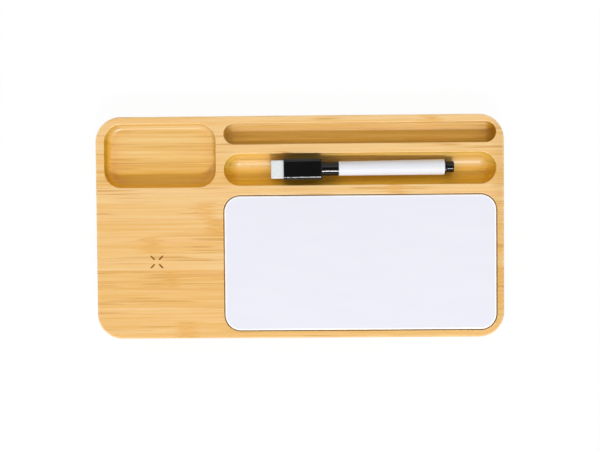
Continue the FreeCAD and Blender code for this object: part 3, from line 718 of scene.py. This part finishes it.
def circuit_board():
    """Green solder mask over a web of copper tracks."""
    board = Surface("circuit_board", {"Specular IOR Level": MASK_SPECULAR})
    tracks = board.node("TexBrick", offset=TRACK_OFFSET)
    board.feed(tracks.inputs["Vector"], board.place)
    board.feed(tracks.inputs["Scale"], TRACK_SCALE)
    board.feed(tracks.inputs["Mortar Size"], TRACK_WIDTH)
    mask = board.minus(1.0, tracks.outputs["Fac"])
    board.colour(board.mix(mask, MASK_OVER_TRACK, MASK_BETWEEN))
    board.roughness(board.noise(MASK_GRAIN_SIZE), MASK_ROUGHNESS)
    board.bump(mask, TRACK_DEPTH)
    return board.material


def burnt_wood():
    """Charred lines of the charging mark."""
    burn = Surface("burnt_mark", {"Specular IOR Level": CHAR_SPECULAR})
    char = burn.noise(CHAR_SIZE, detail=3.0)
    burn.colour(burn.ramp(char, CHAR_COLOURS))
    burn.roughness(char, CHAR_ROUGHNESS)
    burn.bump(char, CHAR_DEPTH)
    return burn.material


def finishes():
    """Material of each slot in the record, and of the mark and the contacts."""
    made = {
        "bamboo": Bamboo().material,
        "whiteboard": whiteboard(),
        "circuit_board": circuit_board(),
        "burnt_mark": burnt_wood(),
    }
    for make, looks in ((moulded, MOULDED), (plated, PLATED), (fibrous, FIBROUS)):
        for name, look in looks.items():
            made[name] = make(name, look)
    return made


# Pieces

def new_piece(name, mesh, body, material):
    """Adds a mesh to the scene as a piece that rides on a body."""
    piece = bpy.data.objects.new(name, mesh)
    bpy.context.scene.collection.objects.link(piece)
    mesh.materials.append(material)
    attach(piece, body)
    return piece


def mesh_from(work, name):
    """Finished mesh of a bmesh, with smooth faces and sharp corners kept."""
    bmesh.ops.recalc_face_normals(work, faces=work.faces)
    mesh = bpy.data.meshes.new(name)
    work.to_mesh(mesh)
    work.free()
    mesh.shade_smooth()
    mesh.set_sharp_from_angle(angle=SHARP_ANGLE)
    return mesh


def extruded(work, outline, low, high):
    """Adds a closed prism over an outline of flat points."""
    lower = [work.verts.new((point.x, point.y, low)) for point in outline]
    upper = [work.verts.new((point.x, point.y, high)) for point in outline]
    work.faces.new(upper)
    work.faces.new(lower[::-1])
    for i, corner in enumerate(lower):
        after = (i + 1) % len(lower)
        work.faces.new((corner, lower[after], upper[after], upper[i]))


def charging_mark():
    """Four burnt lines with round ends, let into the board's top."""
    work = bmesh.new()
    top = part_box("bamboo_board")[1].z
    radius = MARK_WIDTH / 2
    for quarter in range(4):
        turn = math.radians(45 + 90 * quarter)
        run = Vector((math.cos(turn), math.sin(turn)))
        outline = []
        for end, facing in ((MARK_OUTER - radius, 0.0), (MARK_INNER + radius, math.pi)):
            for i in range(MARK_SEGMENTS + 1):
                bend = turn + facing - math.pi / 2 + math.pi * i / MARK_SEGMENTS
                outline.append(MARK_PLACE + run * end + Vector((math.cos(bend), math.sin(bend))) * radius)
        extruded(work, outline, top - MARK_DEPTH, top + MARK_PROUD)
    return mesh_from(work, "charging_mark")


def usb_contacts():
    """Gold contact strips on both faces of the socket's tongue."""
    work = bmesh.new()
    low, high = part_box("usb_socket_tongue")
    middle = (low + high) / 2
    start = low.x + CONTACT_SETBACK
    end = start + CONTACT_LENGTH
    for i in range(CONTACT_COUNT):
        centre = middle.y + (i - (CONTACT_COUNT - 1) / 2) * CONTACT_PITCH
        front = centre - CONTACT_WIDTH / 2
        back = centre + CONTACT_WIDTH / 2
        outline = [Vector(point) for point in ((start, front), (end, front), (end, back), (start, back))]
        for side in (-1, 1):
            face = middle.z + side * TONGUE_THICKNESS / 2
            extruded(work, outline, face - CONTACT_PROUD, face + CONTACT_PROUD)
    return mesh_from(work, "usb_contacts")


def marker_frame():
    """Turn from the marker's own axes (along, aside, up) to the shared frame."""
    pull = next(joint for joint in frame["joints"] if joint["name"] == "cap_pull")
    along = -Vector(pull["axis"]).normalized()
    aside = Vector((0, 0, 1)).cross(along).normalized()
    return Matrix((along, aside, along.cross(aside))).transposed()


def box_on_marker(node, turn):
    """Lowest and highest corner of a node along the marker's own axes."""
    places = [turn.transposed() @ vertex.co for vertex in frame["nodes"][node].data.vertices]
    low = Vector(min(place[i] for place in places) for i in range(3))
    high = Vector(max(place[i] for place in places) for i in range(3))
    return low, high


def felt_surface(place, low, high):
    """Pulls a point of the felt's box in to the box with round edges."""
    inner = Vector(min(max(place[i], low[i] + FELT_EDGE), high[i] - FELT_EDGE) for i in range(3))
    out = place - inner
    return inner + out.normalized() * FELT_EDGE if out.length > 0 else place


def felt_eraser(turn, low, high):
    """Pressed felt block with soft edges and a lumpy, fibrous skin."""
    work = bmesh.new()
    size = high - low
    middle = (low + high) / 2
    bmesh.ops.create_cube(work, size=1.0)
    for axis in range(3):
        cuts = max(2, round(size[axis] / FELT_CELL)) - 1
        runs = [(edge, edge.verts[0].co - edge.verts[1].co) for edge in work.edges]
        edges = [edge for edge, run in runs if abs(run[axis]) > EDGE_TOLERANCE]
        bmesh.ops.subdivide_edges(work, edges=edges, cuts=cuts, use_grid_fill=True)
    for vertex in work.verts:
        place = Vector(middle[i] + vertex.co[i] * size[i] for i in range(3))
        rounded = felt_surface(place, low, high)
        outward = (rounded - middle).normalized()
        lump = noise.noise(rounded / FELT_LUMP) + FELT_FINE_SHARE * noise.noise(rounded / FELT_FINE_LUMP)
        vertex.co = turn @ (rounded + outward * (FELT_LUMP_HEIGHT * lump - FELT_SUNK))
    return mesh_from(work, "felt_eraser")


def felt_fuzz(turn, low, high, shown_length):
    """Loose fibres that stand out of the felt's open faces."""
    chooser = random.Random(FUZZ_SEED)
    work = bmesh.new()
    middle = (low + high) / 2
    for _ in range(FUZZ_COUNT):
        face = chooser.choice(FUZZ_FACES)
        place = Vector((
            chooser.uniform(low.x, low.x + shown_length),
            chooser.uniform(low.y, high.y),
            chooser.uniform(low.z, high.z),
        ))
        if face == "end":
            place.x = low.x
        elif face == "aside":
            place.y = chooser.choice((low.y, high.y))
        else:
            place.z = chooser.choice((low.z, high.z))
        root = felt_surface(place, low, high)
        within = felt_surface(root + (middle - root) * FUZZ_INWARD, low, high)
        outward = (root - within).normalized()
        lean = Vector(chooser.uniform(-1, 1) for _ in range(3))
        way = (outward * FUZZ_UPRIGHT + lean).normalized()
        if way.dot(outward) < 0:
            way = way - outward * 2 * way.dot(outward)
        length = chooser.uniform(FUZZ_SHORTEST, 1.0) * FUZZ_LENGTH
        add_fibre(work, turn, root - outward * FUZZ_ROOT, way, outward, length)
    return mesh_from(work, "felt_fuzz")


def add_fibre(work, turn, root, way, outward, length):
    """Adds one fibre that curls back to the felt."""
    aside = way.orthogonal().normalized()
    up = way.cross(aside)
    rings = []
    for share, width in FUZZ_TAPER:
        centre = root + way * length * share - outward * length * FUZZ_CURL * share * share
        ring = []
        for corner in range(FUZZ_SIDES):
            bend = 2 * math.pi * corner / FUZZ_SIDES
            offset = (aside * math.cos(bend) + up * math.sin(bend)) * FUZZ_RADIUS * width
            ring.append(work.verts.new(turn @ (centre + offset)))
        rings.append(ring)
    for first, second in zip(rings, rings[1:]):
        for corner in range(FUZZ_SIDES):
            after = (corner + 1) % FUZZ_SIDES
            work.faces.new((first[corner], first[after], second[after], second[corner]))
    work.faces.new(rings[0][::-1])
    work.faces.new(rings[-1])


def dress():
    """Gives each CAD node its finish and adds the felt and small surface pieces."""
    materials = finishes()
    for part in frame["record"]["subparts"]:
        slots = frame["nodes"][part["node"]].data.materials
        slots.clear()
        slots.append(materials[part["material_slot"]])
    new_piece("charging_mark", charging_mark(), "organizer", materials["burnt_mark"])
    new_piece("usb_contacts", usb_contacts(), "organizer", materials["gold"])
    turn = marker_frame()
    low, high = box_on_marker("cap_eraser", turn)
    shown_length = box_on_marker("cap_shell", turn)[0].x - low.x
    felt = new_piece("felt_eraser", felt_eraser(turn, low, high), "marker_cap", materials["felt"])
    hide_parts("cap_eraser")
    fuzz = felt_fuzz(turn, low, high, shown_length)
    new_piece("felt_fuzz", fuzz, "marker_cap", materials["felt"])


# Stage

def floor():
    """Pale floor that shows nearly white and keeps a light shadow."""
    work = bmesh.new()
    bmesh.ops.create_grid(work, x_segments=1, y_segments=1, size=FLOOR_SIZE / 2)
    mesh = mesh_from(work, "floor")
    plane = bpy.data.objects.new("floor", mesh)
    bpy.context.scene.collection.objects.link(plane)
    material = bpy.data.materials.new("floor")
    material.use_nodes = True
    nodes = Nodes(material.node_tree)
    nodes.tree.nodes.clear()
    rays = nodes.node("LightPath").outputs
    reflected = nodes.larger(rays["Is Glossy Ray"], rays["Is Transmission Ray"])
    white = nodes.times(nodes.larger(rays["Is Camera Ray"], reflected), FLOOR_GLOW)
    matt = nodes.feed_all(nodes.node("BsdfDiffuse"), (*FLOOR_COLOUR, 1.0))
    glow = nodes.node("Emission").outputs[0]
    shown = nodes.feed_all(nodes.node("MixShader"), white, matt, glow)
    nodes.feed(nodes.node("OutputMaterial").inputs["Surface"], shown)
    mesh.materials.append(material)


def sky():
    """World light by height: pale at the horizon, dim above it, pale higher up and dark overhead."""
    world = bpy.data.worlds.new("sky")
    bpy.context.scene.world = world
    world.use_nodes = True
    nodes = Nodes(world.node_tree)
    background = nodes.tree.nodes["Background"]
    height = nodes.split(nodes.node("TexCoord").outputs["Generated"])["Z"]
    stops = [(place, (level, level, level)) for place, level in SKY_LEVELS]
    nodes.feed(background.inputs["Color"], nodes.ramp(height, stops, "EASE"))
    nodes.feed(background.inputs["Strength"], SKY_STRENGTH)


def lamps():
    """Oval lamps in front of the object, with the power that gives each its share."""
    flat = math.cos(LAMP_ELEVATION)
    height = math.sin(LAMP_ELEVATION)
    for lamp in LAMPS:
        light = bpy.data.lights.new(lamp.name, "AREA")
        light.shape = "ELLIPSE"
        light.size = lamp.width
        light.size_y = lamp.height
        light.energy = math.pi ** 2 * LAMP_DISTANCE ** 2 * lamp.share / height
        holder = bpy.data.objects.new(lamp.name, light)
        bpy.context.scene.collection.objects.link(holder)
        towards = Vector((math.sin(lamp.side) * flat, -math.cos(lamp.side) * flat, height))
        holder.location = CAMERA_TARGET + towards * LAMP_DISTANCE
        holder.rotation_euler = towards.to_track_quat("Z", "Y").to_euler()


def camera():
    """Camera at the photograph's viewing angle."""
    lens = bpy.data.cameras.new("camera")
    lens.sensor_fit = "HORIZONTAL"
    lens.sensor_width = SENSOR_WIDTH
    lens.lens = FOCAL_PIXELS / PICTURE_WIDTH * SENSOR_WIDTH
    lens.clip_start = CAMERA_NEAR_LIMIT
    holder = bpy.data.objects.new("camera", lens)
    bpy.context.scene.collection.objects.link(holder)
    back = (CAMERA_PLACE - CAMERA_TARGET).normalized()
    right = Vector((0, 1, 0)).cross(back).normalized()
    turn = Matrix((right, back.cross(right), back)).transposed() @ Matrix.Rotation(CAMERA_ROLL, 3, "Z")
    holder.matrix_world = Matrix.Translation(CAMERA_PLACE) @ turn.to_4x4()
    bpy.context.scene.camera = holder


bpy.context.scene.view_settings.view_transform = "Standard"
camera()
lamps()
sky()
floor()
dress()
